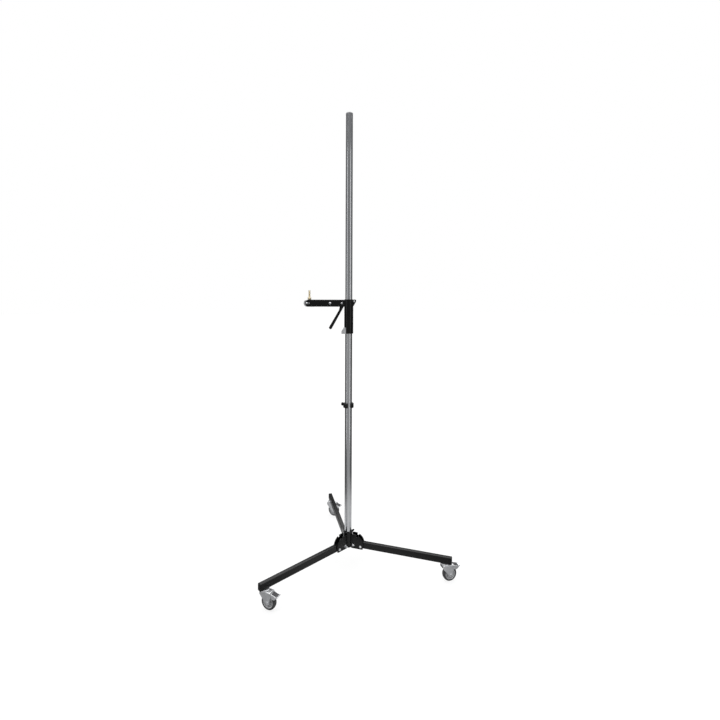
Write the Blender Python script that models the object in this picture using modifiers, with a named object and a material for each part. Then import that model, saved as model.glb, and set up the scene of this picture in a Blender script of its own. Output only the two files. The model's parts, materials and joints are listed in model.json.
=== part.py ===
"""Rolling column stand with a sliding arm.

A chrome column stands in a hub with three folding legs on braked casters. A carriage with two
rollers slides on the column and carries a short arm with a threaded stud. A lever under the arm
frees its brake shoe, and a clip on the column stops the carriage from dropping further.
"""

import math

import bmesh
import bpy

# Driving dimensions, in metres. Heights are above the floor, and radii from the column's axis.
COLUMN_AT = (-0.0722, -0.0674)  # column axis, from the centre of the footprint
GAP = 0.0003  # between pieces that touch

COLUMN_R = 0.0175
COLUMN_WALL = 0.002
COLUMN_TOP = 2.226
CAP_RISE = 0.004

LEGS = {"right": -17.5, "back": 102.5, "left": 222.5}  # azimuth of each leg, in degrees
LEG_TOP = 0.113
LEG_HEIGHT = 0.030
LEG_WIDTH = 0.020
LEG_WALL = 0.002
LEG_IN = 0.050
LEG_OUT = 0.5025
END_CAP = 0.002
PIVOT_R, PIVOT_Z = 0.068, LEG_TOP - 0.021
CLAMP_R, CLAMP_Z = 0.031, LEG_TOP - 0.018
CLAMP_SPARE = 0.010  # how far the left clamp bolt sticks out of its nut

HUB_R = 0.0225
HUB_TOP = LEG_TOP + 0.040
HUB_BOTTOM = LEG_TOP - 0.033
SOCKET_FLOOR = LEG_TOP - 0.016
LUG_OUT = 0.038
LOCK_AZIMUTH = 42.5
LOCK_Z = LEG_TOP + 0.030

PLATE_THICK = 0.004
PLATE_Y = LEG_WIDTH / 2 + 0.0004 + PLATE_THICK / 2
PLATE_ARC_R = 0.048
PLATE_ARC_X, PLATE_ARC_Z = 0.034, LEG_TOP - 0.015
PLATE_BOTTOM = LEG_TOP - 0.034
PLATE_IN = 0.0206
NOTCH_ANGLE = 68
NOTCH_HALF, NOTCH_DEEP = 0.0044, 0.0085

STEM_R = 0.475
WHEEL_R = 0.0335
TRAIL = 0.020
YAWS = {"right": 16, "back": -28, "left": -24}  # where each caster trails, in degrees from +X
RIM_R = 0.0245
PEDAL_X, PEDAL_Z = 0.0315, 0.0700  # pedal pivot, from the swivel axis
CHEEK_IN, CHEEK_OUT = 0.0136, 0.0161
FORK_TOP = 0.0782
FORK_PLATE = 0.0037

CLIP_Z = LEG_TOP + 0.664
CLIP_R = 0.026
CLIP_HALF = 0.0105
CLIP_GAP_AT, CLIP_GAP = -77.5, 38  # azimuth and width of its mouth, in degrees
CLIP_SCREW_AT = 150

ARM_Z = LEG_TOP + 1.171
ARM_HALF = 0.0172
ARM_SIDE = 0.018  # half of the channel's width
ARM_WALL = 0.003
ARM_TIP = -0.1990  # centre of the channel's round end
NOSE_TIP = -0.2055  # centre of the nose block's round end, which shows past the channel's
SLEEVE_R, SLEEVE_BORE = 0.0225, 0.0194
SLEEVE_TOP, SLEEVE_BOTTOM = ARM_Z + 0.0192, ARM_Z - 0.150
ROLLER_R = 0.0090
ROLLER_X = COLUMN_R + GAP + ROLLER_R
UPPER_ROLLER_Z = ARM_Z + 0.0095
LOWER_ROLLER_Z = ARM_Z - 0.1425
ROLLER_HALF = 0.0115
SCREW_X, SCREW_Z = 0.0186, 0.0030  # bracket screws, from the roller's height
LEVER_X = -0.0345  # lever pin, at the height ARM_Z
STUD_X = -0.1957
NOSE_BOLT_X = -0.2075
SPACER_BOLT_X = -0.0922
SHOE_LOW, SHOE_HIGH = -0.0100, 0.0120  # from ARM_Z
SHOE_HALF = 0.007

MODEL = bpy.data.collections.new("column_stand")
TOOLS = bpy.data.collections.new("tools")


def clear_scene():
    """Empties the scene, then links the model's collection and the tools'."""
    for obj in list(bpy.data.objects):
        bpy.data.objects.remove(obj)
    bpy.context.scene.collection.children.link(MODEL)
    bpy.context.scene.collection.children.link(TOOLS)


def look(name, colour, roughness, metallic=0.0):
    """A plain Principled material."""
    made = bpy.data.materials.new(name)
    made.use_nodes = True
    shader = made.node_tree.nodes["Principled BSDF"]
    shader.inputs["Base Color"].default_value = (*colour, 1)
    shader.inputs["Roughness"].default_value = roughness
    shader.inputs["Metallic"].default_value = metallic
    return made


CHROME = look("chrome", (0.62, 0.63, 0.64), 0.15, 1.0)
BLACK_COAT = look("black_coat", (0.022, 0.022, 0.024), 0.45)
BLACK_PLASTIC = look("black_plastic", (0.030, 0.030, 0.032), 0.55)
GREY_PLASTIC = look("grey_plastic", (0.46, 0.46, 0.47), 0.5)
ZINC = look("zinc", (0.56, 0.57, 0.58), 0.35, 1.0)
RUBBER = look("rubber", (0.10, 0.10, 0.105), 0.75)
BRASS = look("brass", (0.72, 0.56, 0.27), 0.25, 1.0)
NYLON = look("nylon", (0.55, 0.54, 0.50), 0.5)


def empty(name, parent, at=(0, 0, 0), turn=(0, 0, 0)):
    made = bpy.data.objects.new(name, None)
    made.location, made.rotation_euler, made.parent = at, turn, parent
    MODEL.objects.link(made)
    return made


def place(name, mesh, material, parent, at, turn):
    """Puts a mesh in the scene. A piece with no material is a tool that cuts or joins."""
    made = bpy.data.objects.new(name, mesh)
    made.location, made.rotation_euler, made.parent = at, turn, parent
    if material:
        mesh.materials.append(material)
    else:
        made.hide_render = True
        made.display_type = "WIRE"
    (MODEL if material else TOOLS).objects.link(made)
    return made


def smooth(mesh):
    mesh.shade_smooth()
    mesh.set_sharp_from_angle(angle=math.radians(35))


def box(name, low, high, material, parent, at=(0, 0, 0), turn=(0, 0, 0)):
    """A box between two corners, given from the object's origin."""
    shape = bmesh.new()
    bmesh.ops.create_cube(shape, size=1)
    for vert in shape.verts:
        vert.co = [(a + b) / 2 + c * (b - a) for a, b, c in zip(low, high, vert.co)]
    mesh = bpy.data.meshes.new(name)
    shape.to_mesh(mesh)
    shape.free()
    return place(name, mesh, material, parent, at, turn)


def rod(name, radius, length, material, parent, at, turn=(0, 0, 0), sides=16):
    """A cylinder centred on its origin, along its own Z."""
    shape = bmesh.new()
    bmesh.ops.create_cone(
        shape, cap_ends=True, segments=sides, radius1=radius, radius2=radius, depth=length
    )
    mesh = bpy.data.meshes.new(name)
    shape.to_mesh(mesh)
    shape.free()
    smooth(mesh)
    return place(name, mesh, material, parent, at, turn)


def turned(name, profile, material, parent, at=(0, 0, 0), turn=(0, 0, 0), sides=24, ring=False):
    """A shape turned about its own Z from (radius, height) points that run down its outer side."""
    edges = [(i, i + 1) for i in range(len(profile) - 1)]
    if ring:
        edges.append((len(profile) - 1, 0))
    mesh = bpy.data.meshes.new(name)
    mesh.from_pydata([(r, 0, z) for r, z in profile], edges, [])
    made = place(name, mesh, material, parent, at, turn)
    screw = made.modifiers.new("turn", "SCREW")
    screw.steps = screw.render_steps = sides
    screw.use_merge_vertices = True
    screw.merge_threshold = 0.0001
    return made


def extruded(name, loops, thickness, material, parent, at=(0, 0, 0), turn=(0, 0, 0)):
    """A flat outline with holes, thickened along its own Z to both sides and made a welded mesh."""
    curve = bpy.data.curves.new(name, "CURVE")
    curve.dimensions = "2D"
    curve.fill_mode = "BOTH"
    curve.extrude = thickness / 2
    for loop in loops:
        spline = curve.splines.new("POLY")
        spline.points.add(len(loop) - 1)
        spline.use_cyclic_u = True
        for point, (x, y) in zip(spline.points, loop):
            point.co = (x, y, 0, 1)
    guide = bpy.data.objects.new(name + "_outline", curve)
    MODEL.objects.link(guide)
    graph = bpy.context.evaluated_depsgraph_get()
    mesh = bpy.data.meshes.new_from_object(guide.evaluated_get(graph))
    bpy.data.objects.remove(guide)
    shape = bmesh.new()
    shape.from_mesh(mesh)
    bmesh.ops.remove_doubles(shape, verts=shape.verts, dist=1e-6)
    shape.to_mesh(mesh)
    shape.free()
    mesh.name = name
    return place(name, mesh, material, parent, at, turn)


def combine(target, tool, operation):
    change = target.modifiers.new(tool.name, "BOOLEAN")
    change.operation = operation
    change.solver = "EXACT"
    change.object = tool


def cut(target, *tools):
    for tool in tools:
        combine(target, tool, "DIFFERENCE")


def join(target, *tools):
    for tool in tools:
        combine(target, tool, "UNION")


UPRIGHT = (math.pi / 2, 0, 0)  # an outline's X and Y become X and Z, and its thickness runs along Y
ALONG_X = (math.pi / 2, 0, math.pi / 2)  # an outline's X and Y become Y and Z, its thickness X
ALONG_Y = (-math.pi / 2, 0, 0)  # a turned shape's Z becomes Y


def arc(centre, radius, start, end, steps):
    """Points on an arc between two angles in degrees, both ends included."""
    turns = [math.radians(start + (end - start) * i / steps) for i in range(steps + 1)]
    return [(centre[0] + radius * math.cos(t), centre[1] + radius * math.sin(t)) for t in turns]


def circle(centre, radius, steps=16):
    return arc(centre, radius, 0, 360, steps)[:-1]


def rounded(half_x, half_y, radius, centre=(0, 0), steps=3):
    """A rectangle with round corners."""
    points = []
    for x, y, start in ((1, 1, 0), (-1, 1, 90), (-1, -1, 180), (1, -1, 270)):
        corner = (centre[0] + x * (half_x - radius), centre[1] + y * (half_y - radius))
        points += arc(corner, radius, start, start + 90, steps)
    return points


def moved(points, x, y):
    return [(a - x, b - y) for a, b in points]


def cross_bolt(name, radius, head, half, material, parent, at, spare=0):
    """A bolt along Y with a domed head in front, and behind it a nut past which its end sticks out."""
    nut, back = head * 0.9, half + 0.0030
    tip = [(0, back + spare), (radius, back + spare), (radius, back)] if spare else [(0, back)]
    profile = tip + [
        (nut, back), (nut, half), (radius, half),
        (radius, -half), (head, -half), (head, -half - 0.0016), (head * 0.7, -half - 0.0032),
        (0, -half - 0.0038),
    ]
    return turned(name, profile, material, parent, at, ALONG_Y, 12)


def column(stand):
    """The column tube in the hub's socket, and the plug in its top."""
    bore = COLUMN_R - COLUMN_WALL
    low = SOCKET_FLOOR + GAP
    profile = [(COLUMN_R, COLUMN_TOP), (COLUMN_R, low), (bore, low), (bore, COLUMN_TOP)]
    turned("column_tube", profile, CHROME, stand, sides=32, ring=True)
    plug = bore - GAP
    top = COLUMN_TOP + GAP + CAP_RISE
    profile = [
        (0, top), (COLUMN_R - 0.002, top), (COLUMN_R, top - 0.0015),
        (COLUMN_R, COLUMN_TOP + GAP), (plug, COLUMN_TOP + GAP),
        (plug - 0.0005, COLUMN_TOP - 0.025), (0, COLUMN_TOP - 0.025),
    ]
    turned("column_cap", profile, GREY_PLASTIC, stand, sides=32)


def hub(stand):
    """The hub casting: a socket for the column, three lugs for the leg brackets and a screw boss."""
    socket = COLUMN_R + GAP
    profile = [
        (0, SOCKET_FLOOR), (socket, SOCKET_FLOOR), (socket, HUB_TOP - 0.001),
        (socket + 0.001, HUB_TOP), (HUB_R - 0.0015, HUB_TOP), (HUB_R, HUB_TOP - 0.0015),
        (HUB_R, HUB_BOTTOM), (0, HUB_BOTTOM),
    ]
    body = turned("hub_body", profile, BLACK_COAT, stand, sides=32)
    for side, azimuth in LEGS.items():
        frame = empty(f"lug_frame_{side}", stand, turn=(0, 0, math.radians(azimuth)))
        low = (HUB_R - 0.004, -LEG_WIDTH / 2, HUB_BOTTOM + 0.001)
        high = (LUG_OUT, LEG_WIDTH / 2, LEG_TOP + 0.012)
        join(body, box(f"lug_{side}", low, high, None, frame))
        hole = rod(f"lug_hole_{side}", 0.0041, 0.04, None, frame, (CLAMP_R, 0, CLAMP_Z), UPRIGHT)
        cut(body, hole)
    frame = empty("boss_frame", stand, turn=(0, 0, math.radians(LOCK_AZIMUTH)))
    sideways = (0, math.pi / 2, 0)
    boss = rod("lock_boss", 0.0065, 0.007, None, frame, (HUB_R + 0.0005, 0, LOCK_Z), sideways)
    join(body, boss)
    cut(body, rod("lock_hole", 0.0031, 0.03, None, frame, (0.0260, 0, LOCK_Z), sideways, 12))


def column_lock(stand):
    """The T screw that clamps the column in the hub. Its own Z runs outwards along the screw."""
    turn = math.radians(LOCK_AZIMUTH)
    tip = COLUMN_R + GAP
    at = (tip * math.cos(turn), tip * math.sin(turn), LOCK_Z)
    profile = [
        (0, 0.0190), (0.0040, 0.0190), (0.0048, 0.0182), (0.0048, 0.0130), (0.0060, 0.0120),
        (0.0060, 0.0090), (0.0027, 0.0090), (0.0027, 0), (0, 0),
    ]
    frame = empty("lock_frame", stand, at, (0, math.pi / 2, turn))
    screw = turned("column_lock_screw", profile, BLACK_PLASTIC, frame, sides=16)
    bar = rod("lock_bar", 0.0026, 0.024, None, frame, (0, 0, 0.0158), (UPRIGHT[0], 0, -0.8), 12)
    join(screw, bar)


def bracket_outline():
    """A half-round plate with a flat foot and one notch in its rim, as (outwards, up) points."""
    centre = (PLATE_ARC_X, PLATE_ARC_Z)
    foot = math.degrees(math.asin((PLATE_BOTTOM - PLATE_ARC_Z) / PLATE_ARC_R))
    inner = math.degrees(math.acos((PLATE_IN - PLATE_ARC_X) / PLATE_ARC_R))
    half = math.degrees(NOTCH_HALF / PLATE_ARC_R)
    floor = PLATE_ARC_R - NOTCH_DEEP
    turns = [math.radians(NOTCH_ANGLE + side * half * 0.9) for side in (-1, 1)]
    notch = [
        (centre[0] + floor * math.cos(t), centre[1] + floor * math.sin(t)) for t in turns
    ]
    return (
        arc(centre, PLATE_ARC_R, foot, NOTCH_ANGLE - half, 10)
        + notch
        + arc(centre, PLATE_ARC_R, NOTCH_ANGLE + half, inner, 5)
        + [(PLATE_IN, PLATE_BOTTOM)]
    )


def bracket(side, frame):
    """Two plates beside the leg, the bolt that clamps them to the hub and the leg's pivot bolt."""
    holes = [circle((CLAMP_R, CLAMP_Z), 0.0041), circle((PIVOT_R, PIVOT_Z), 0.0041)]
    for letter, place_y in (("a", -PLATE_Y), ("b", PLATE_Y)):
        extruded(
            f"bracket_{side}_{letter}", [bracket_outline(), *holes], PLATE_THICK, BLACK_COAT,
            frame, (0, place_y, 0), UPRIGHT,
        )
    half = PLATE_Y + PLATE_THICK / 2 + GAP
    for name, x, z in (("clamp", CLAMP_R, CLAMP_Z), ("pivot", PIVOT_R, PIVOT_Z)):
        spare = CLAMP_SPARE if (name, side) == ("clamp", "left") else 0
        cross_bolt(f"{name}_bolt_{side}", 0.0037, 0.0058, half, ZINC, frame, (x, 0, z), spare)


def leg(side, fold):
    """The leg tube, open at the pivot end, and its end cap, both placed from the fold axis."""
    section = [
        rounded(LEG_WIDTH / 2, LEG_HEIGHT / 2, 0.0025),
        rounded(LEG_WIDTH / 2 - LEG_WALL, LEG_HEIGHT / 2 - LEG_WALL, 0.001, steps=1),
    ]
    length = LEG_OUT - LEG_IN
    mid = LEG_TOP - LEG_HEIGHT / 2 - PIVOT_Z
    at = ((LEG_IN + LEG_OUT) / 2 - PIVOT_R, 0, mid)
    tube = extruded(f"leg_tube_{side}", section, length, BLACK_COAT, fold, at, ALONG_X)
    cut(tube, rod(f"pivot_hole_{side}", 0.0041, 0.04, None, fold, (0, 0, 0), UPRIGHT))
    stem_at = (STEM_R - PIVOT_R, 0, mid - LEG_HEIGHT / 2)
    cut(tube, rod(f"stem_hole_{side}", 0.0054, 0.010, None, fold, stem_at))
    out = LEG_OUT + GAP - PIVOT_R
    flange = [rounded(LEG_WIDTH / 2, LEG_HEIGHT / 2, 0.0025)]
    at = (out + END_CAP / 2, 0, mid)
    cap = extruded(f"leg_end_cap_{side}", flange, END_CAP, BLACK_PLASTIC, fold, at, ALONG_X)
    plug = (LEG_WIDTH / 2 - LEG_WALL - 2 * GAP, LEG_HEIGHT / 2 - LEG_WALL - 2 * GAP)
    low, high = (out - 0.010, -plug[0], mid - plug[1]), (out + 0.001, plug[0], mid + plug[1])
    join(cap, box(f"cap_plug_{side}", low, high, None, fold))


def caster_stem(side, swivel):
    """The stem bolted through the leg, with the swivel's upper race and its kingpin head."""
    under = LEG_TOP - LEG_HEIGHT
    seat = under + LEG_WALL + GAP
    king = FORK_TOP - FORK_PLATE - GAP
    profile = [
        (0, seat + 0.008), (0.0072, seat + 0.008), (0.0072, seat), (0.0050, seat),
        (0.0050, under - GAP), (0.0180, under - GAP), (0.0190, under - 0.0013),
        (0.0190, FORK_TOP + GAP), (0.0055, FORK_TOP + GAP), (0.0055, king), (0.0090, king),
        (0.0085, king - 0.0050), (0, king - 0.0050),
    ]
    turned(f"caster_stem_{side}", profile, ZINC, swivel, sides=18)


def fork(side, swivel):
    """The caster's fork: a bent plate with two cheeks, seen from the side as one outline."""
    axle = (TRAIL, WHEEL_R)
    outline = (
        [(-0.0165, FORK_TOP), (-0.0185, FORK_TOP - 0.003), (-0.0185, FORK_TOP - 0.014)]
        + arc(axle, 0.0095, 200, 350, 6)
        + [(0.0350, WHEEL_R + 0.020), (0.0380, FORK_TOP - 0.012), (0.0340, FORK_TOP)]
    )
    loops = [outline, circle(axle, 0.0034, 12), circle((PEDAL_X, PEDAL_Z), 0.0024, 12)]
    body = extruded(
        f"caster_fork_{side}", loops, 2 * CHEEK_OUT, ZINC, swivel, (0, 0, 0), UPRIGHT
    )
    low, high = (-0.05, -CHEEK_IN, 0), (0.06, CHEEK_IN, FORK_TOP - FORK_PLATE)
    cut(body, box(f"fork_slot_{side}", low, high, None, swivel))
    cut(body, rod(f"king_hole_{side}", 0.0059, 0.02, None, swivel, (0, 0, FORK_TOP)))
    nut, head, shaft, half = 0.0048, 0.0056, 0.0030, CHEEK_OUT + GAP
    profile = [
        (0, half + 0.0024), (nut, half + 0.0024), (nut, half), (shaft, half), (shaft, -half),
        (head, -half), (head * 0.8, -half - 0.0022), (0, -half - 0.0026),
    ]
    turned(f"caster_axle_{side}", profile, ZINC, swivel, (axle[0], 0, axle[1]), ALONG_Y, 12)


def wheel(side, spin):
    """The wheel's centre and tyre, turned about the axle."""
    half, rim, web = 0.0105, RIM_R - GAP, 0.0045
    profile = [
        (rim, half), (rim, -half), (rim - 0.0025, -half), (rim - 0.0040, -web),
        (0.0085, -web), (0.0075, -0.0125), (0.0033, -0.0125), (0.0033, 0.0125),
        (0.0075, 0.0125), (0.0085, web), (rim - 0.0040, web), (rim - 0.0025, half),
    ]
    turned(f"wheel_centre_{side}", profile, GREY_PLASTIC, spin, (0, 0, 0), ALONG_Y, 24, True)
    tread, shoulder = WHEEL_R, WHEEL_R - 0.0035
    profile = [
        (RIM_R, half), (shoulder, half), (tread, 0.0060), (tread, -0.0060),
        (shoulder, -half), (RIM_R, -half),
    ]
    turned(f"tyre_{side}", profile, RUBBER, spin, (0, 0, 0), ALONG_Y, 36, True)


def pedal(side, hinge):
    """The brake pedal: a bent strip with its pivot pin, placed from the pivot."""
    eye = 0.0034
    outline = moved(
        arc((PEDAL_X, PEDAL_Z), eye, 110, 290, 5)
        + [(0.0430, 0.0650), (0.0550, 0.0625), (0.0630, 0.0622), (0.0692, 0.0655)]
        + [(0.0698, 0.0690), (0.0675, 0.0690), (0.0620, 0.0665), (0.0480, 0.0700)]
        + [(0.0370, 0.0728)],
        PEDAL_X, PEDAL_Z,
    )
    body = extruded(f"brake_pedal_{side}", [outline], 0.024, ZINC, hinge, (0, 0, 0), UPRIGHT)
    length = 2 * CHEEK_OUT + 0.002
    join(body, rod(f"pedal_pin_{side}", 0.0020, length, None, hinge, (0, 0, 0), UPRIGHT, 12))


def leg_assembly(side, azimuth, stand):
    """One leg with its bracket and caster."""
    turn, yaw = math.radians(azimuth), math.radians(YAWS[side])
    frame = empty(f"leg_frame_{side}", stand, turn=(0, 0, turn))
    bracket(side, frame)
    fold = empty(f"fold_{side}", frame, (PIVOT_R, 0, PIVOT_Z))
    leg(side, fold)
    swivel = empty(f"swivel_{side}", fold, (STEM_R - PIVOT_R, 0, -PIVOT_Z), (0, 0, yaw - turn))
    caster_stem(side, swivel)
    fork(side, swivel)
    wheel(side, empty(f"spin_{side}", swivel, (TRAIL, 0, WHEEL_R)))
    pedal(side, empty(f"pedal_hinge_{side}", swivel, (PEDAL_X, 0, PEDAL_Z)))


def stop_clip(stand):
    """The open plastic ring that stops the carriage, and its thumb screw."""
    start, end = CLIP_GAP_AT + CLIP_GAP / 2, CLIP_GAP_AT + 360 - CLIP_GAP / 2
    bore = COLUMN_R + 0.0004
    ring = arc((0, 0), CLIP_R, start, end, 24) + arc((0, 0), bore, end, start, 24)
    base = empty("clip_frame", stand, (0, 0, CLIP_Z))
    clip = extruded("stop_clip", [ring], 2 * CLIP_HALF, BLACK_PLASTIC, base)
    turn = math.radians(CLIP_SCREW_AT)
    sideways = (0, math.pi / 2, 0)
    frame = empty("clip_screw_frame", base, turn=(0, 0, turn))
    cut(clip, rod("clip_hole", 0.0028, 0.02, None, frame, (0.0220, 0, 0.002), sideways, 12))
    knob = 0.0080
    profile = [
        (0, 0.0385), (knob - 0.0015, 0.0385), (knob, 0.0370), (knob, 0.0300),
        (knob - 0.0025, 0.0285), (knob - 0.0025, CLIP_R + GAP), (0.0025, CLIP_R + GAP),
        (0.0025, COLUMN_R + 0.0004), (0, COLUMN_R + 0.0004),
    ]
    turned("clip_screw", profile, BLACK_PLASTIC, frame, (0, 0, 0.002), sideways, 16)


def sleeve(slide):
    """The carriage tube, with slots for both rollers and a window for the brake shoe."""
    low, high = SLEEVE_BOTTOM - ARM_Z, SLEEVE_TOP - ARM_Z
    profile = [
        (SLEEVE_R - 0.001, high), (SLEEVE_R, high - 0.001), (SLEEVE_R, low + 0.001),
        (SLEEVE_R - 0.001, low), (SLEEVE_BORE, low), (SLEEVE_BORE, high),
    ]
    body = turned("carriage_sleeve", profile, BLACK_COAT, slide, sides=32, ring=True)
    upper, lower = UPPER_ROLLER_Z - ARM_Z, LOWER_ROLLER_Z - ARM_Z
    side, reach = ROLLER_HALF + 2 * GAP, ROLLER_R + 0.0015
    cut(
        body,
        box("upper_slot", (0.010, -side, upper - reach), (0.040, side, high + 0.01), None, slide),
        box("lower_slot", (-0.040, -side, low - 0.01), (-0.010, side, lower + reach), None, slide),
        box(
            "shoe_window", (-0.030, -SHOE_HALF - GAP, SHOE_LOW - 0.0005),
            (-0.010, SHOE_HALF + GAP, SHOE_HIGH + 0.0005), None, slide,
        ),
    )


def liner(slide):
    """The nylon bush between the column and the sleeve."""
    outer, bore, low, high = 0.0190, 0.0179, -0.118, -0.022
    profile = [(outer, high), (outer, low), (bore, low), (bore, high)]
    turned("sleeve_liner", profile, NYLON, slide, sides=32, ring=True)


def roller_set(name, slide, height, flip, cover):
    """A roller with its pin and bracket. The bracket's two cheeks and web hug the sleeve."""
    frame = empty(f"{name}_frame", slide, (0, 0, height), (0, math.pi if flip else 0, 0))
    foot, tip = 0.0120, 0.0362
    outline = [
        (foot, 0.0085), (tip - 0.003, 0.0085), (tip, 0.0055), (tip, 0.0020),
        (SLEEVE_R + 0.0022, -0.0225), (foot, -0.0225),
    ]
    loops = [outline, circle((ROLLER_X, 0), 0.0029, 12), circle((SCREW_X, SCREW_Z), 0.0024, 12)]
    body = extruded(f"{name}_bracket", loops, 2 * ARM_SIDE, cover, frame, turn=UPRIGHT)
    half, web = ARM_SIDE - ARM_WALL, SLEEVE_R + 0.0020
    low, high = (web, -half, -0.030), (0.050, half, 0.020)
    cut(body, box(f"{name}_slot", low, high, None, frame))
    low, high = (0, -half, -ROLLER_R - 0.0012), (0.050, half, 0.020)
    cut(body, box(f"{name}_throat", low, high, None, frame))
    room = SLEEVE_R + 0.0004
    cut(body, rod(f"{name}_room", room, 0.1, None, frame, (0, 0, 0), sides=32))
    edge, bevelled = ROLLER_HALF, ROLLER_HALF - 0.001
    profile = [
        (ROLLER_R - 0.001, edge), (ROLLER_R, bevelled), (ROLLER_R, -bevelled),
        (ROLLER_R - 0.001, -edge), (0.0029, -edge), (0.0029, edge),
    ]
    at = (ROLLER_X, 0, 0)
    turned(name, profile, BLACK_PLASTIC, frame, at, ALONG_Y, 24, True)
    end = ARM_SIDE + GAP
    profile = [
        (0, end + 0.0018), (0.0042, end + 0.0018), (0.0042, end), (0.0026, end),
        (0.0026, -end), (0.0044, -end), (0.0040, -end - 0.0014), (0, -end - 0.0020),
    ]
    turned(f"{name}_pin", profile, ZINC, frame, at, ALONG_Y, 12)


def bracket_screw(slide):
    """The front screw that holds the lower roller's bracket to the sleeve."""
    tip, end = 0.0158, ARM_SIDE + GAP
    profile = [
        (0, -tip), (0.0021, -tip), (0.0021, -end), (0.0036, -end), (0.0036, -end - 0.0012),
        (0.0025, -end - 0.0022), (0, -end - 0.0024),
    ]
    at = (-SCREW_X, 0, LOWER_ROLLER_Z - ARM_Z - SCREW_Z)
    turned("bracket_screw", profile, ZINC, slide, at, ALONG_Y, 12)


def arm_channel(swivel):
    """The arm: a channel open below, with a round end, that meets the round sleeve."""
    outline = arc((ARM_TIP, 0), ARM_HALF, 90, 270, 12) + [(0, -ARM_HALF), (0, ARM_HALF)]
    holes = [
        circle((x, 0), radius, 12)
        for x, radius in ((NOSE_BOLT_X, 0.0034), (SPACER_BOLT_X, 0.0038), (LEVER_X, 0.0034))
    ]
    body = extruded(
        "arm_channel", [outline, *holes], 2 * ARM_SIDE, BLACK_COAT, swivel, turn=UPRIGHT
    )
    inner = ARM_SIDE - ARM_WALL
    low, high = (-0.30, -inner, -0.05), (0.01, inner, ARM_HALF - ARM_WALL)
    cut(body, box("channel_inside", low, high, None, swivel))
    cut(body, rod("sleeve_room", SLEEVE_R + 0.0004, 0.1, None, swivel, (0, 0, 0), sides=32))
    cut(body, rod("stud_hole", 0.0054, 0.02, None, swivel, (STUD_X, 0, ARM_HALF)))
    at = (STUD_X, -ARM_SIDE, 0)
    cut(body, rod("lock_screw_hole", 0.0033, 0.01, None, swivel, at, UPRIGHT, 12))


def nose_block(swivel):
    """The block inside the arm's end that the stud stands in, with its cross bolt."""
    top, radius, end = ARM_HALF - ARM_WALL - GAP, ARM_HALF + 0.0006, 0.1700
    sweep = math.degrees(math.asin(top / radius))
    outline = arc((NOSE_TIP, 0), radius, 180 - sweep, 270, 10)
    outline += [(-end, -radius), (-end, top)]
    width = 2 * (ARM_SIDE - ARM_WALL - GAP)
    hole = circle((NOSE_BOLT_X, 0), 0.0034, 12)
    body = extruded(
        "nose_block", [outline, hole], width, GREY_PLASTIC, swivel, (0, 0, 0), UPRIGHT
    )
    cut(body, rod("shank_hole", 0.0053, 0.04, None, swivel, (STUD_X, 0, 0.008)))
    at = (STUD_X, -0.012, 0)
    cut(body, rod("grub_hole", 0.0033, 0.020, None, swivel, at, UPRIGHT, 12))
    half = ARM_SIDE + GAP
    cross_bolt("nose_bolt", 0.0031, 0.0052, half, ZINC, swivel, (NOSE_BOLT_X, 0, 0))
    cross_bolt("spacer_bolt", 0.0035, 0.0056, half, ZINC, swivel, (SPACER_BOLT_X, 0, 0))
    profile = [(0, 0.0062), (0.0030, 0.0062), (0.0030, -0.0062), (0, -0.0062)]
    at = (STUD_X, -ARM_SIDE + 0.0060, 0)
    turned("stud_lock_screw", profile, ZINC, swivel, at, ALONG_Y, 12)


def stud(swivel):
    """The brass stud with its shoulder, which stands on the arm."""
    seat, shoulder, thread = ARM_HALF + GAP, 0.0088, 0.0050
    profile = [
        (0, seat + 0.0460), (thread - 0.0012, seat + 0.0460), (thread, seat + 0.0448),
        (thread, seat + 0.0110), (shoulder - 0.0008, seat + 0.0110),
        (shoulder, seat + 0.0102), (shoulder, seat), (0.0050, seat), (0.0050, -0.0100),
        (0, -0.0100),
    ]
    turned("stud", profile, BRASS, swivel, (STUD_X, 0, 0), sides=24)


def brake(swivel):
    """The release lever on its pin, and the shoe that its cam presses on the column."""
    cam = [
        (radius * math.cos(math.radians(turn)), radius * math.sin(math.radians(turn)))
        for turn, radius in (
            (-28, 0.0114), (-14, 0.0115), (0, 0.0115), (12, 0.0107), (25, 0.0097), (45, 0.0096),
            (70, 0.0096), (95, 0.0098), (120, 0.0103), (145, 0.0108), (170, 0.0112),
            (190, 0.0114),
        )
    ]
    tilt = math.radians(29)
    reach = 0.133
    end = (-reach * math.sin(tilt) + 0.0085, -reach * math.cos(tilt) - 0.0055)
    grip = arc(end, 0.0078, 151, 331, 8)
    neck_left, neck_right = [(-0.0112, -0.0215), (-0.0145, -0.0345)], [(0.0082, -0.0200)]
    outline = cam + neck_left + grip + neck_right
    frame = empty("lever_hinge", swivel, (LEVER_X, 0, 0))
    loops = [outline, circle((0, 0), 0.0034, 12)]
    extruded("brake_lever", loops, 0.012, BLACK_COAT, frame, turn=UPRIGHT)
    half = ARM_SIDE + GAP
    cross_bolt("lever_pin", 0.0031, 0.0046, half, ZINC, swivel, (LEVER_X, 0, 0))
    back = LEVER_X + 0.0115 + GAP
    low, high = (back, -SHOE_HALF, SHOE_LOW), (-0.014, SHOE_HALF, SHOE_HIGH)
    shoe = box("brake_shoe", low, high, BLACK_PLASTIC, swivel)
    room = COLUMN_R + 0.0004
    cut(shoe, rod("shoe_hollow", room, 0.1, None, swivel, (0, 0, 0), sides=32))


def carriage(stand):
    """Everything that slides on the column. The arm points towards -X."""
    slide = empty("carriage_frame", stand, (0, 0, ARM_Z))
    sleeve(slide)
    liner(slide)
    upper, lower = UPPER_ROLLER_Z - ARM_Z, LOWER_ROLLER_Z - ARM_Z
    roller_set("upper_roller", slide, upper, False, BLACK_COAT)
    roller_set("lower_roller", slide, lower, True, ZINC)
    bracket_screw(slide)
    arm_channel(slide)
    nose_block(slide)
    stud(slide)
    brake(slide)


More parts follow.
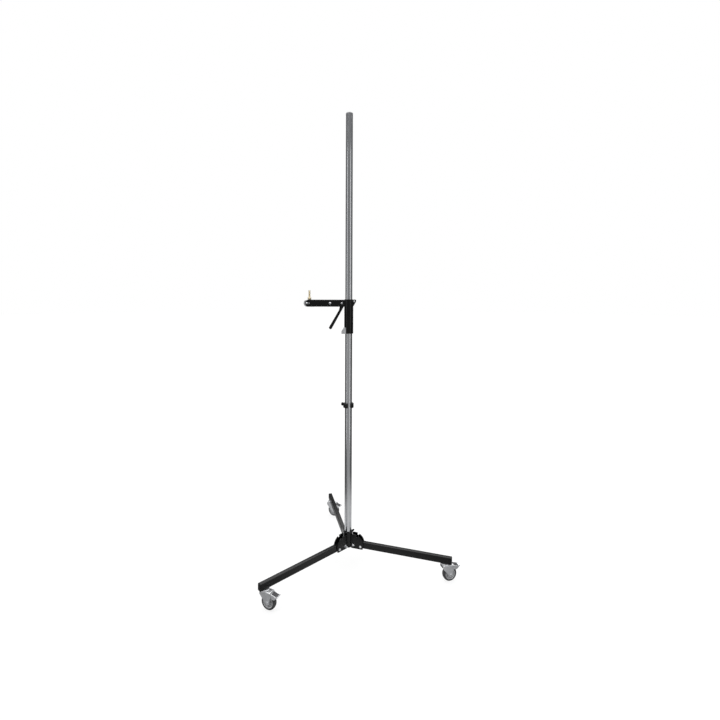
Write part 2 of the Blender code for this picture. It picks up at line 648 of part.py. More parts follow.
def main():
    clear_scene()
    stand = empty("stand", None, (*COLUMN_AT, 0))
    column(stand)
    hub(stand)
    column_lock(stand)
    for side, azimuth in LEGS.items():
        leg_assembly(side, azimuth, stand)
    stop_clip(stand)
    carriage(stand)


main()
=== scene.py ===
"""The looks of a rolling column stand with a sliding arm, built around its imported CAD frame.

Every visible piece is rebuilt at its CAD place with smooth curves, soft edges and procedural
finishes: chrome, black powder coat, zinc, moulded plastic, rubber and brass. Lengths are in metres.
"""

import json
import math

import bmesh
import bpy
from mathutils import Matrix, Vector

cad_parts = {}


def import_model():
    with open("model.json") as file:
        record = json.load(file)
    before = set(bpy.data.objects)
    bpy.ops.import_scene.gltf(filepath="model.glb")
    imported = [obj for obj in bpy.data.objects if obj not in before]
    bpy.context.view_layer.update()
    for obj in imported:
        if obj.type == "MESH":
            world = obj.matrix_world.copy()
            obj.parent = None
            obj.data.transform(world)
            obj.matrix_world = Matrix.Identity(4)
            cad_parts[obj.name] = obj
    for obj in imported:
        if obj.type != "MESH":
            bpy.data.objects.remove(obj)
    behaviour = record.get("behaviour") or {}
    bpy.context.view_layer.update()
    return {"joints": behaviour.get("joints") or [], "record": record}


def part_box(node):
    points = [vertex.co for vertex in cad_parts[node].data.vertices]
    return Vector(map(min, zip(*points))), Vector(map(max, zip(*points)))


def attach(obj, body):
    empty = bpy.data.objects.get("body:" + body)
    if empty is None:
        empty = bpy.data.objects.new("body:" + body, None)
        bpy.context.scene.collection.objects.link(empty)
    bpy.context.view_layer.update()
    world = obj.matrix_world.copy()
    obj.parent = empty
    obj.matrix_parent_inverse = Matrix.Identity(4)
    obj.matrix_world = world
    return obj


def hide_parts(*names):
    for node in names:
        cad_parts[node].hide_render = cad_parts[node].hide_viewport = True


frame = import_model()

RECORD = frame["record"]
BODY_OF = {node: body for body, nodes in RECORD["behaviour"]["bodies"].items() for node in nodes}
SLOT_OF = {entry["node"]: entry["material_slot"] for entry in RECORD["subparts"]}
JOINTS = {joint["name"]: joint for joint in frame["joints"]}
SIDES = ("right", "back", "left")

# ---- Meshes ------------------------------------------------------------------------------------


def to_mesh(shape, name="solid"):
    """A mesh of what was drawn, with its faces turned outwards."""
    bmesh.ops.recalc_face_normals(shape, faces=shape.faces)
    mesh = bpy.data.meshes.new(name)
    shape.to_mesh(mesh)
    shape.free()
    return mesh


def arc(centre, radius, start, end, steps):
    """Points on an arc between two angles in degrees, both ends included."""
    turns = [math.radians(start + (end - start) * i / steps) for i in range(steps + 1)]
    return [(centre[0] + radius * math.cos(t), centre[1] + radius * math.sin(t)) for t in turns]


def circle(centre, radius, steps=40):
    return arc(centre, radius, 0, 360, steps)[:-1]


def soften(points, radius, steps=3, closed=True):
    """Rounds each corner of a path, by at most the radius and never past half of a side."""
    count, path = len(points), []
    for i, point in enumerate(points):
        if not closed and i in (0, count - 1):
            path.append(tuple(point))
            continue
        here = Vector(point)
        back, ahead = Vector(points[i - 1]) - here, Vector(points[(i + 1) % count]) - here
        reach = min(radius, 0.45 * back.length, 0.45 * ahead.length)
        first, last = here + back.normalized() * reach, here + ahead.normalized() * reach
        for step in range(steps + 1):
            t = step / steps
            path.append(tuple(first * (1 - t) ** 2 + here * 2 * t * (1 - t) + last * t ** 2))
    return path


def rounded(half_x, half_y, radius, centre=(0, 0), steps=6):
    """A rectangle with round corners."""
    points = []
    for x, y, start in ((1, 1, 0), (-1, 1, 90), (-1, -1, 180), (1, -1, 270)):
        corner = (centre[0] + x * (half_x - radius), centre[1] + y * (half_y - radius))
        points += arc(corner, radius, start, start + 90, steps)
    return points


def lathe(profile, sides=64, ring=False, edge=0.0004, steps=2):
    """Turns (radius, height) points about Z, with every corner softened."""
    shape, rows = bmesh.new(), []
    for radius, height in soften(profile, edge, steps, ring):
        if radius < 1e-6:
            rows.append([shape.verts.new((0, 0, height))])
            continue
        turns = [2 * math.pi * i / sides for i in range(sides)]
        rows.append(
            [shape.verts.new((radius * math.cos(t), radius * math.sin(t), height)) for t in turns]
        )
    for upper, lower in list(zip(rows, rows[1:])) + ([(rows[-1], rows[0])] if ring else []):
        for i in range(sides):
            j = (i + 1) % sides
            if len(upper) == 1:
                shape.faces.new((upper[0], lower[i], lower[j]))
            elif len(lower) == 1:
                shape.faces.new((upper[i], lower[0], upper[j]))
            else:
                shape.faces.new((upper[i], lower[i], lower[j], upper[j]))
    return to_mesh(shape)


def plate(loops, thickness, edge=0.0004, rings=2):
    """Flat outlines, the first outside and the rest holes, thickened along Z with round edges."""
    curve = bpy.data.curves.new("outline", "CURVE")
    curve.dimensions, curve.fill_mode = "2D", "BOTH"
    curve.extrude = thickness / 2 - edge
    curve.bevel_depth, curve.offset, curve.bevel_resolution = edge, -edge, rings
    for i, loop in enumerate(loops):
        turning = sum(a[0] * b[1] - a[1] * b[0] for a, b in zip(loop, loop[1:] + loop[:1]))
        if (turning > 0) == (i > 0):
            loop = loop[::-1]
        spline = curve.splines.new("POLY")
        spline.points.add(len(loop) - 1)
        spline.use_cyclic_u = True
        for point, (x, y) in zip(spline.points, loop):
            point.co = (x, y, 0, 1)
    guide = bpy.data.objects.new("outline", curve)
    bpy.context.scene.collection.objects.link(guide)
    mesh = bpy.data.meshes.new_from_object(
        guide.evaluated_get(bpy.context.evaluated_depsgraph_get())
    )
    bpy.data.objects.remove(guide)
    shape = bmesh.new()
    shape.from_mesh(mesh)
    bmesh.ops.remove_doubles(shape, verts=shape.verts, dist=1e-6)
    bmesh.ops.dissolve_limit(
        shape, angle_limit=math.radians(0.5), verts=shape.verts, edges=shape.edges
    )
    return to_mesh(shape)


def block(low, high):
    """A box between two corners."""
    shape = bmesh.new()
    bmesh.ops.create_cube(shape, size=1)
    for vert in shape.verts:
        vert.co = [(a + b) / 2 + c * (b - a) for a, b, c in zip(low, high, vert.co)]
    return to_mesh(shape)


def rod(radius, low, high, sides=48):
    """A cylinder along Z."""
    shape = bmesh.new()
    bmesh.ops.create_cone(
        shape, cap_ends=True, segments=sides, radius1=radius, radius2=radius, depth=high - low
    )
    bmesh.ops.translate(shape, verts=shape.verts, vec=(0, 0, (low + high) / 2))
    return to_mesh(shape)


def turned(mesh, matrix):
    """The same mesh, moved and turned by a matrix."""
    mesh.transform(matrix)
    return mesh


def evaluated(mesh, setup, *helpers):
    """A copy of the mesh with the modifiers that setup adds to it applied."""
    made = [bpy.data.objects.new("work", each) for each in (mesh, *helpers)]
    for obj in made:
        bpy.context.scene.collection.objects.link(obj)
    setup(made[0], *made[1:])
    graph = bpy.context.evaluated_depsgraph_get()
    result = bpy.data.meshes.new_from_object(made[0].evaluated_get(graph))
    for obj in made:
        bpy.data.objects.remove(obj)
    return result


def combine(mesh, operation, *tools):
    """One Boolean after another with the exact solver."""
    def add(obj, *others):
        for other in others:
            change = obj.modifiers.new("combine", "BOOLEAN")
            change.operation, change.solver, change.object = operation, "EXACT", other
    return evaluated(mesh, add, *tools)


def cut(mesh, *tools):
    return combine(mesh, "DIFFERENCE", *tools)


def join(mesh, *tools):
    return combine(mesh, "UNION", *tools)


def overlap(mesh, *tools):
    return combine(mesh, "INTERSECT", *tools)


def bevelled(mesh, width, angle=32, segments=2):
    """Sharp edges rounded off, after near-coincident points are welded."""
    shape = bmesh.new()
    shape.from_mesh(mesh)
    bmesh.ops.remove_doubles(shape, verts=shape.verts, dist=2e-5)
    bmesh.ops.dissolve_limit(
        shape, angle_limit=math.radians(1), verts=shape.verts, edges=shape.edges
    )
    mesh = to_mesh(shape)

    def add(obj):
        change = obj.modifiers.new("bevel", "BEVEL")
        change.width, change.segments, change.limit_method = width, segments, "ANGLE"
        change.angle_limit = math.radians(angle)
        change.use_clamp_overlap = True
    return evaluated(mesh, add)


UPRIGHT = Matrix.Rotation(math.pi / 2, 4, "X")  # an outline's X and Y become X and Z
ALONG_Y = Matrix.Rotation(-math.pi / 2, 4, "X")  # a turned shape's Z becomes Y
ALONG_X = Matrix.Rotation(math.pi / 2, 4, "Z") @ UPRIGHT  # an outline's X and Y become Y and Z
SIDEWAYS = Matrix.Rotation(math.pi / 2, 4, "Y")  # a turned shape's Z becomes X


def at(x, y, z):
    return Matrix.Translation((x, y, z))


def facing(point, azimuth):
    """A place whose X runs outwards at an azimuth, in radians."""
    return Matrix.Translation(point) @ Matrix.Rotation(azimuth, 4, "Z")


# ---- Finishes ----------------------------------------------------------------------------------


class Graph:
    """A node tree, and short ways to add nodes to it and to feed their inputs."""

    def __init__(self, tree):
        self.nodes, self.links = tree.nodes, tree.links

    def give(self, socket, value):
        """Links another socket to this one, or sets its own value."""
        if isinstance(value, bpy.types.NodeSocket):
            self.links.new(value, socket)
        else:
            socket.default_value = value

    def add(self, kind, **values):
        """Adds a node of a kind. Its inputs are named with underscores for spaces."""
        node = self.nodes.new("ShaderNode" + kind)
        for name, value in values.items():
            self.give(node.inputs[name.replace("_", " ")], value)
        return node

    def spread(self, value, low, high, start=0.0, end=1.0, smooth=False):
        """Maps the value's stretch from low to high onto start to end, and holds it there."""
        made = self.add("MapRange", Value=value, From_Min=low, From_Max=high, To_Min=start, To_Max=end)
        if smooth:
            made.interpolation_type = "SMOOTHSTEP"
        return made.outputs[0]

    def sum_up(self, operation, a, b):
        """One operation on two numbers."""
        made = self.add("Math")
        made.operation = operation
        for socket, value in zip(made.inputs, (a, b)):
            self.give(socket, value)
        return made.outputs[0]

    def times(self, a, b):
        """The product of two numbers."""
        return self.sum_up("MULTIPLY", a, b)

    def vector(self, operation, *vectors):
        """The number that an operation makes of one or two vectors."""
        made = self.add("VectorMath")
        made.operation = operation
        for socket, value in zip(made.inputs, vectors):
            self.links.new(value, socket)
        return made.outputs["Value"]

    def grey(self, value):
        """A colour whose three channels are one number."""
        return self.add("CombineColor", Red=value, Green=value, Blue=value).outputs[0]

    def by_ray(self, others, camera):
        """One shader for the rays that leave the camera and another for all other rays."""
        mix = self.add("MixShader", Fac=self.add("LightPath").outputs["Is Camera Ray"])
        self.links.new(others.outputs[0], mix.inputs[1])
        self.links.new(camera.outputs[0], mix.inputs[2])
        return mix.outputs[0]


class Finish(Graph):
    """A Principled material whose colour, roughness and relief come from noise in object space."""

    def __init__(self, name, colour, rough, metallic=0.0, specular=0.5):
        self.material = bpy.data.materials.new(name)
        self.material.use_nodes = True
        super().__init__(self.material.node_tree)
        self.shader = self.nodes["Principled BSDF"]
        self.shader.inputs["Base Color"].default_value = (*colour, 1)
        self.shader.inputs["Roughness"].default_value = rough
        self.shader.inputs["Metallic"].default_value = metallic
        self.shader.inputs["Specular IOR Level"].default_value = specular
        self.coords = self.add("TexCoord").outputs["Object"]
        self.relief = None

    def noise(self, scale, detail=3, stretch=(1, 1, 1), blur=0.5):
        """Noise of `scale` features a metre, drawn out along the axes whose stretch is small."""
        place = self.add("Mapping", Vector=self.coords, Scale=stretch).outputs[0]
        made = self.add("TexNoise", Vector=place, Scale=scale, Detail=detail, Roughness=blur)
        return made.outputs["Fac"]

    def tint(self, amount, colour):
        """Blends another colour over what the base colour is so far."""
        mix = self.add("Mix")
        mix.data_type = "RGBA"
        base = self.shader.inputs["Base Color"]
        under, over = [socket for socket in mix.inputs if socket.type == "RGBA"]
        self.give(under, base.links[0].from_socket if base.links else base.default_value)
        over.default_value = (*colour, 1)
        self.links.new(amount, mix.inputs[0])
        self.links.new([socket for socket in mix.outputs if socket.type == "RGBA"][0], base)
        return self

    def gloss(self, value, low, high):
        """Lets the roughness run between two values, over where most of a noise lies."""
        made = self.spread(value, 0.3, 0.7, low, high)
        self.links.new(made, self.shader.inputs["Roughness"])
        return self

    def bump(self, height, depth, strength=1.0):
        """Adds relief of a depth in metres on top of what there is."""
        made = self.add("Bump", Height=height, Distance=depth, Strength=strength)
        if self.relief:
            self.links.new(self.relief, made.inputs["Normal"])
        self.relief = made.outputs[0]
        self.links.new(self.relief, self.shader.inputs["Normal"])
        return self

    def edges(self, radius):
        """How near a point is to an edge, from 0 to 1: how far a rounded normal leans there."""
        soft = self.add("Bevel", Radius=radius)
        soft.samples = 4
        sharp = self.add("NewGeometry").outputs["Normal"]
        return self.spread(self.vector("DOT_PRODUCT", soft.outputs[0], sharp), 0.999, 0.93)

    def height(self):
        """The distance from the object's own Z axis, in metres."""
        split = self.add("SeparateXYZ", Vector=self.coords).outputs
        return self.vector("LENGTH", self.add("CombineXYZ", X=split["X"], Y=split["Y"]).outputs[0])


def chrome():
    """Polished chrome on a drawn tube: faint lines along it, haze and a few rubs."""
    made = Finish("chrome", (0.60, 0.61, 0.625), 0.14, 1.0)
    lines = made.noise(1400, 3, (1, 1, 0.012))
    haze = made.noise(14, 4, (1, 1, 0.35))
    made.tint(made.spread(haze, 0.35, 0.75, 0, 0.5), (0.47, 0.48, 0.50))
    made.gloss(made.noise(60, 4, (1, 1, 0.15)), 0.10, 0.23)
    rubs = made.spread(made.noise(320, 2, (1, 1, 0.08)), 0.66, 0.72)
    made.tint(made.times(rubs, 0.35), (0.36, 0.365, 0.38))
    return made.bump(lines, 0.00002, 0.6).bump(made.noise(9, 2, (1, 1, 0.2)), 0.0004, 0.25)


def black_coat():
    """Satin black powder coat with orange peel, thin dust and rubbed edges."""
    made = Finish("black_coat", (0.0014, 0.0014, 0.0015), 0.28, 0.0, 0.30)
    made.tint(made.spread(made.noise(22, 5), 0.4, 0.75, 0, 0.8), (0.0034, 0.0034, 0.0036))
    dust = made.spread(made.noise(260, 5, blur=0.65), 0.58, 0.78)
    made.tint(made.times(dust, 0.18), (0.020, 0.0198, 0.0195))
    worn = made.times(made.edges(0.0016), made.spread(made.noise(180, 4), 0.42, 0.62))
    made.tint(made.times(worn, 0.5), (0.05, 0.051, 0.053))
    made.gloss(made.noise(90, 5), 0.22, 0.34)
    return made.bump(made.noise(900, 2), 0.00012, 0.35).bump(made.noise(5200, 2), 0.00003, 0.25)


def black_plastic():
    """Moulded black plastic with a fine spark-eroded grain."""
    made = Finish("black_plastic", (0.0070, 0.0070, 0.0073), 0.48, 0.0, 0.3)
    made.tint(made.spread(made.noise(45, 4), 0.4, 0.75, 0, 0.7), (0.013, 0.013, 0.0135))
    worn = made.times(made.edges(0.0012), made.spread(made.noise(300, 4), 0.42, 0.65))
    made.tint(made.times(worn, 0.5), (0.075, 0.075, 0.077))
    made.gloss(made.noise(140, 4), 0.40, 0.60)
    return made.bump(made.noise(2600, 3, blur=0.7), 0.00008, 0.4)


def grey_plastic():
    """Moulded light grey plastic, slightly mottled and scuffed."""
    made = Finish("grey_plastic", (0.62, 0.625, 0.635), 0.45)
    made.tint(made.spread(made.noise(50, 5), 0.35, 0.75, 0, 0.6), (0.50, 0.505, 0.515))
    scuffs = made.spread(made.noise(420, 3, (1, 0.25, 1)), 0.64, 0.74)
    made.tint(made.times(scuffs, 0.35), (0.24, 0.24, 0.245))
    made.gloss(made.noise(120, 4), 0.36, 0.55)
    return made.bump(made.noise(2400, 3, blur=0.7), 0.00006, 0.35)


def zinc():
    """Bright zinc plate: soft clouds, a little blue, dull specks and fine press marks."""
    made = Finish("zinc", (0.84, 0.85, 0.865), 0.40, 1.0)
    made.tint(made.spread(made.noise(70, 5), 0.35, 0.72, 0, 0.75), (0.64, 0.65, 0.68))
    made.tint(made.spread(made.noise(28, 3), 0.5, 0.8, 0, 0.25), (0.80, 0.77, 0.68))
    specks = made.spread(made.noise(1300, 4), 0.63, 0.72)
    made.tint(made.times(specks, 0.4), (0.27, 0.275, 0.28))
    made.gloss(made.noise(240, 5), 0.32, 0.52)
    return made.bump(made.noise(1500, 4), 0.00005, 0.35)


def rubber():
    """Dark grey tyre compound, dustier where it rolls."""
    made = Finish("rubber", (0.062, 0.062, 0.065), 0.72, 0.0, 0.35)
    made.tint(made.spread(made.noise(60, 5), 0.35, 0.75, 0, 0.8), (0.095, 0.095, 0.098))
    tread = made.spread(made.height(), 0.0322, 0.0335)
    dust = made.times(tread, made.spread(made.noise(330, 5), 0.35, 0.7, 0.2, 1))
    made.tint(made.times(dust, 0.5), (0.135, 0.130, 0.122))
    made.gloss(made.noise(200, 4), 0.58, 0.85)
    return made.bump(made.noise(1900, 4, blur=0.7), 0.00012, 0.5)


def brass():
    """Machined brass with turning lines round it and a light tarnish."""
    made = Finish("brass", (0.88, 0.79, 0.58), 0.30, 1.0)
    made.tint(made.spread(made.noise(120, 5), 0.35, 0.75, 0, 0.7), (0.80, 0.66, 0.42))
    made.tint(made.spread(made.noise(700, 4), 0.60, 0.75, 0, 0.25), (0.55, 0.41, 0.22))
    made.gloss(made.noise(500, 3, (0.1, 0.1, 3)), 0.34, 0.50)
    return made.bump(made.noise(1800, 2, (0.02, 0.02, 1)), 0.00003, 0.6)


def nylon():
    """Natural nylon, slightly waxy, with wear lines along the column."""
    made = Finish("nylon", (0.60, 0.585, 0.53), 0.42)
    made.tint(made.spread(made.noise(90, 4, (1, 1, 0.1)), 0.4, 0.75, 0, 0.6), (0.46, 0.44, 0.39))
    made.gloss(made.noise(150, 4), 0.34, 0.52)
    return made.bump(made.noise(1500, 3), 0.00005, 0.3)


FINISHES = {
    made.__name__: made().material
    for made in (chrome, black_coat, black_plastic, grey_plastic, zinc, rubber, brass, nylon)
}


def shown(name, mesh, place, body, slot, smooth_to=34):
    """Puts a finished mesh in the scene, on a body of the CAD and with one of the finishes."""
    mesh.name = name
    mesh.shade_smooth()
    mesh.set_sharp_from_angle(angle=math.radians(smooth_to))
    mesh.materials.clear()
    mesh.materials.append(FINISHES[slot])
    made = bpy.data.objects.new(name, mesh)
    bpy.context.scene.collection.objects.link(made)
    made.matrix_world = place
    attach(made, body)
    return made


def piece(name, mesh, place, node, smooth_to=34):
    """A piece that is seen in place of the CAD node it stands for."""
    made = shown(name, mesh, place, BODY_OF[node], SLOT_OF[node], smooth_to)
    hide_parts(node)


# ---- Places and sizes, as in the CAD -----------------------------------------------------------

GAP = 0.0003  # between any two pieces
SADDLE_GAP = 0.0004  # between a tube and a piece hollowed to its round
REACH = 0.05  # half of a cutter's length, past whatever it cuts
COLUMN_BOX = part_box("column_tube")
COLUMN = Vector([(COLUMN_BOX[0][i] + COLUMN_BOX[1][i]) / 2 for i in (0, 1)] + [0])
COLUMN_R, COLUMN_WALL, COLUMN_TOP = 0.0175, 0.002, COLUMN_BOX[1][2]
CAP_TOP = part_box("column_cap")[1][2]
LEG_TOP, LEG_HEIGHT, LEG_WIDTH, LEG_WALL = 0.113, 0.030, 0.020, 0.002
LEG_IN, LEG_OUT, END_CAP = 0.050, 0.5025, 0.002
PIVOT_R, PIVOT_Z, CLAMP_R, CLAMP_Z = 0.068, 0.092, 0.031, 0.095
HUB_R, HUB_TOP, HUB_BOTTOM, SOCKET_FLOOR, LUG_OUT = 0.0225, 0.153, 0.080, 0.097, 0.038
LOCK_TURN, LOCK_Z = math.radians(42.5), 0.143
PLATE_THICK, PLATE_Y, PLATE_ARC, PLATE_ARC_R = 0.004, 0.0124, (0.034, 0.098), 0.048
PLATE_BOTTOM, PLATE_IN, NOTCH_ANGLE, NOTCH_HALF, NOTCH_DEEP = 0.079, 0.0206, 68, 0.0044, 0.0085
STEM_R, WHEEL_R, TRAIL, RIM_R = 0.475, 0.0335, 0.020, 0.0245
PEDAL_X, PEDAL_Z = 0.0315, 0.0700
CHEEK_IN, CHEEK_OUT, FORK_TOP, FORK_PLATE = 0.0136, 0.0161, 0.0782, 0.0037
CLIP_R, CLIP_HALF, CLIP_MOUTH, CLIP_GAP, CLIP_SCREW_AT = 0.026, 0.0105, -77.5, 38, 150
ARM_Z, ARM_HALF, ARM_SIDE, ARM_WALL = 1.284, 0.0172, 0.018, 0.003
ARM_TIP, NOSE_TIP = -0.1990, -0.2055  # centres of the round ends of the channel and the nose
SLEEVE_R, SLEEVE_BORE, SLEEVE_HIGH, SLEEVE_LOW = 0.0225, 0.0194, 0.0192, -0.150
ROLLER_R, ROLLER_X, ROLLER_HALF = 0.0090, 0.0268, 0.0115
UPPER_ROLLER, LOWER_ROLLER = 0.0095, -0.1425  # heights of their pins above the arm's middle
SCREW_X, SCREW_Z = 0.0186, 0.0030
LEVER_X, STUD_X, NOSE_BOLT_X, SPACER_BOLT_X = -0.0345, -0.1957, -0.2075, -0.0922
SHOE_LOW, SHOE_HIGH, SHOE_HALF = -0.0100, 0.0120, 0.007
M8_HOLE, M8_SHANK, M8_HEAD = 0.0041, 0.0037, 0.0060  # radii of the leg bolts and their holes
M6_HOLE, M6_SHANK, STUD_R = 0.0034, 0.0031, 0.0050  # and of the bolts and the stud in the arm
BOLT_SPARE, LONG_SPARE = 0.0008, 0.0100  # how far a bolt's end sticks out of its nut
NUT_THICK, WASHER_THICK = 0.0030, 0.0008


def leg_place(side):
    """The leg's frame on the column's axis, whose X runs outwards."""
    axis = JOINTS[f"leg_fold_{side}"]["axis"]
    return facing(COLUMN, math.atan2(axis[0], -axis[1]))


def caster_place(side):
    """The swivel's frame at floor height, whose X runs the way that the caster trails."""
    x, y, _ = JOINTS[f"caster_swivel_{side}"]["pos_m"]
    axis = JOINTS[f"wheel_spin_{side}"]["axis"]
    return facing((x, y, 0), math.atan2(-axis[0], axis[1]))


STAND = Matrix.Translation(COLUMN)
SLIDE = STAND @ at(0, 0, ARM_Z)

# ---- Column and hub ----------------------------------------------------------------------------


def hexagon(radius, turn=0):
    return arc((0, 0), radius, turn, turn + 360, 6)[:-1]


def prism(loop, low, high, edge=0.0003):
    """A flat outline from one height to another along Z, with round edges."""
    return turned(plate([loop], high - low, edge), at(0, 0, (low + high) / 2))


def cross_hole(radius, x, z):
    """A cutter along Y."""
    return turned(rod(radius, -REACH, REACH), at(x, 0, z) @ ALONG_Y)


def cross_bolt(radius, head, half, spare=BOLT_SPARE):
    """A button-head screw with a washer at each end and a nut, along Z. The head is at -half."""
    face, back, top = -half, half, -half - 0.0038
    tip, washer = back + NUT_THICK + spare, back + 0.0007
    body = lathe([
        (0, tip), (radius * 0.85, tip), (radius, tip - 0.0006), (radius, washer), (head, washer),
        (head, back), (radius, back), (radius, face), (head, face), (head, face - WASHER_THICK),
        (head * 0.90, face - 0.0010), (head * 0.84, face - 0.0022), (head * 0.60, face - 0.0034),
        (head * 0.45, top), (0, top),
    ], 48, edge=0.0002)
    socket = prism(hexagon(head * 0.36, 5), face - 0.005, face - 0.0022, 0.0001)
    nut = prism(hexagon(head * 0.92), back + 0.0006, back + NUT_THICK)
    return join(cut(body, socket), nut)


def column():
    bore, low = COLUMN_R - COLUMN_WALL, COLUMN_BOX[0][2]
    profile = [(COLUMN_R, COLUMN_TOP), (COLUMN_R, low), (bore, low), (bore, COLUMN_TOP)]
    piece("column_tube", lathe(profile, 96, True, 0.0005), STAND, "column_tube")
    plug = bore - GAP
    profile = [
        (0, CAP_TOP), (COLUMN_R - 0.0035, CAP_TOP - 0.0002), (COLUMN_R - 0.0005, CAP_TOP - 0.0016),
        (COLUMN_R, COLUMN_TOP + GAP), (plug, COLUMN_TOP + GAP),
        (plug - 0.0005, COLUMN_TOP - 0.025), (0, COLUMN_TOP - 0.025),
    ]
    piece("column_cap", lathe(profile, 64, edge=0.0012, steps=4), STAND, "column_cap")


def hub():
    """The casting: a socket with a rolled rim, three lugs and a boss for the T screw."""
    socket = COLUMN_R + GAP
    body = lathe([
        (0, SOCKET_FLOOR), (socket, SOCKET_FLOOR), (socket, HUB_TOP - 0.001),
        (socket + 0.001, HUB_TOP), (HUB_R - 0.001, HUB_TOP), (HUB_R, HUB_TOP - 0.0012),
        (HUB_R, HUB_TOP - 0.0050), (HUB_R - 0.0005, HUB_TOP - 0.0056),
        (HUB_R - 0.0005, HUB_BOTTOM + 0.0012), (HUB_R - 0.0018, HUB_BOTTOM), (0, HUB_BOTTOM),
    ], 96, edge=0.0006)
    lugs, holes = [], []
    for side in SIDES:
        turn = STAND.inverted() @ leg_place(side)
        low = (HUB_R - 0.004, -LEG_WIDTH / 2, HUB_BOTTOM + 0.001)
        high = (LUG_OUT, LEG_WIDTH / 2, LEG_TOP + 0.012)
        lugs.append(turned(bevelled(block(low, high), 0.0014, segments=3), turn))
        holes.append(turned(rod(M8_HOLE, -0.02, 0.02), turn @ at(CLAMP_R, 0, CLAMP_Z) @ ALONG_Y))
    out = facing((0, 0, LOCK_Z), LOCK_TURN) @ SIDEWAYS
    boss = lathe([(0, 0.0265), (0.0065, 0.0265), (0.0070, 0.0190), (0, 0.0190)], 48, edge=0.0006)
    body = cut(join(body, *lugs, turned(boss, out)), *holes, turned(rod(0.0031, 0.011, 0.04), out))
    piece("hub_casting", body, STAND, "hub_body")


def lock_screw():
    """The T screw: a collar, a neck and a round cross bar with ball ends."""
    screw = lathe([
        (0, 0.0192), (0.0036, 0.0192), (0.0048, 0.0182), (0.0048, 0.0130), (0.0060, 0.0120),
        (0.0060, 0.0092), (0.0027, 0.0092), (0.0027, 0.0006), (0.0021, 0), (0, 0),
    ], 48, edge=0.0004)
    ball, half = 0.0033, 0.0120
    bar = lathe(
        [(0, half)] + [(r, h) for h, r in arc((half - ball, 0), ball, 10, 150, 8)]
        + [(r, h) for h, r in arc((ball - half, 0), ball, 30, 170, 8)] + [(0, -half)],
        40, edge=0.0001,
    )
    bar = turned(bar, at(0, 0, 0.0158) @ Matrix.Rotation(-0.8, 4, "Z") @ UPRIGHT)
    start = COLUMN + Vector((math.cos(LOCK_TURN), math.sin(LOCK_TURN), 0)) * (COLUMN_R + GAP)
    place = facing((start.x, start.y, LOCK_Z), LOCK_TURN) @ SIDEWAYS
    piece("column_lock_screw", join(screw, bar), place, "column_lock_screw")


def bracket(side):
    """Two notched plates, the clamp bolt and the pivot bolt."""
    place = leg_place(side)
    foot = math.degrees(math.asin((PLATE_BOTTOM - PLATE_ARC[1]) / PLATE_ARC_R))
    inner = math.degrees(math.acos((PLATE_IN - PLATE_ARC[0]) / PLATE_ARC_R))
    half = math.degrees(NOTCH_HALF / PLATE_ARC_R)

    def rim(start, end, steps=1, radius=PLATE_ARC_R):
        return arc(PLATE_ARC, radius, start, end, steps)

    first, last = NOTCH_ANGLE - half, NOTCH_ANGLE + half
    deep = PLATE_ARC_R - NOTCH_DEEP
    floor = rim(NOTCH_ANGLE - half * 0.9, NOTCH_ANGLE + half * 0.9, 1, deep)
    notch = soften(rim(first - 2, first) + floor + rim(last, last + 2), 0.0008, 3, False)
    corner = [rim(inner, inner)[0], (PLATE_IN, PLATE_BOTTOM), rim(foot, foot)[0]]
    outline = rim(foot + 1, first - 3, 36) + notch + rim(last + 3, inner - 1, 14)
    outline += soften(corner, 0.002, 3, False)
    for letter, y in (("a", -PLATE_Y), ("b", PLATE_Y)):
        holes = [circle((CLAMP_R, CLAMP_Z), M8_HOLE), circle((PIVOT_R, PIVOT_Z), M8_HOLE)]
        mesh = plate([outline, *holes], PLATE_THICK, 0.0006)
        name = f"bracket_{side}_{letter}"
        piece(f"bracket_plate_{side}_{letter}", mesh, place @ at(0, y, 0) @ UPRIGHT, name)
    half = PLATE_Y + PLATE_THICK / 2 + GAP
    for name, x, z in (("clamp", CLAMP_R, CLAMP_Z), ("pivot", PIVOT_R, PIVOT_Z)):
        spare = LONG_SPARE if (name, side) == ("clamp", "left") else BOLT_SPARE
        mesh = cross_bolt(M8_SHANK, M8_HEAD, half, spare)
        piece(f"{name}_bolt_{side}", mesh, place @ at(x, 0, z) @ ALONG_Y, f"{name}_bolt_{side}")


# ---- Legs and casters --------------------------------------------------------------------------


def leg(side):
    """A rectangular tube with round corners, and the plug in its outer end."""
    fold = leg_place(side) @ at(PIVOT_R, 0, PIVOT_Z)
    mid = LEG_TOP - LEG_HEIGHT / 2 - PIVOT_Z
    section = [
        rounded(LEG_WIDTH / 2, LEG_HEIGHT / 2, 0.0028),
        rounded(LEG_WIDTH / 2 - LEG_WALL, LEG_HEIGHT / 2 - LEG_WALL, 0.001, steps=3),
    ]
    middle = at((LEG_IN + LEG_OUT) / 2 - PIVOT_R, 0, mid)
    tube = turned(plate(section, LEG_OUT - LEG_IN, 0.0003), middle @ ALONG_X)
    stem = at(STEM_R - PIVOT_R, 0, mid - LEG_HEIGHT / 2)
    stem_hole = turned(rod(0.0054, -0.005, 0.005), stem)
    tube = cut(tube, cross_hole(M8_HOLE, 0, 0), stem_hole)
    piece(f"leg_tube_{side}", tube, fold, f"leg_tube_{side}")
    out = LEG_OUT + GAP - PIVOT_R
    flange = plate([rounded(LEG_WIDTH / 2, LEG_HEIGHT / 2, 0.0028)], END_CAP, 0.0008, 4)
    flange = turned(flange, at(out + END_CAP / 2, 0, mid) @ ALONG_X)
    half_y, half_z = (size / 2 - LEG_WALL - 2 * GAP for size in (LEG_WIDTH, LEG_HEIGHT))
    plug = block((out - 0.010, -half_y, mid - half_z), (out + 0.001, half_y, mid + half_z))
    piece(f"leg_end_cap_{side}", join(flange, plug), fold, f"leg_end_cap_{side}")


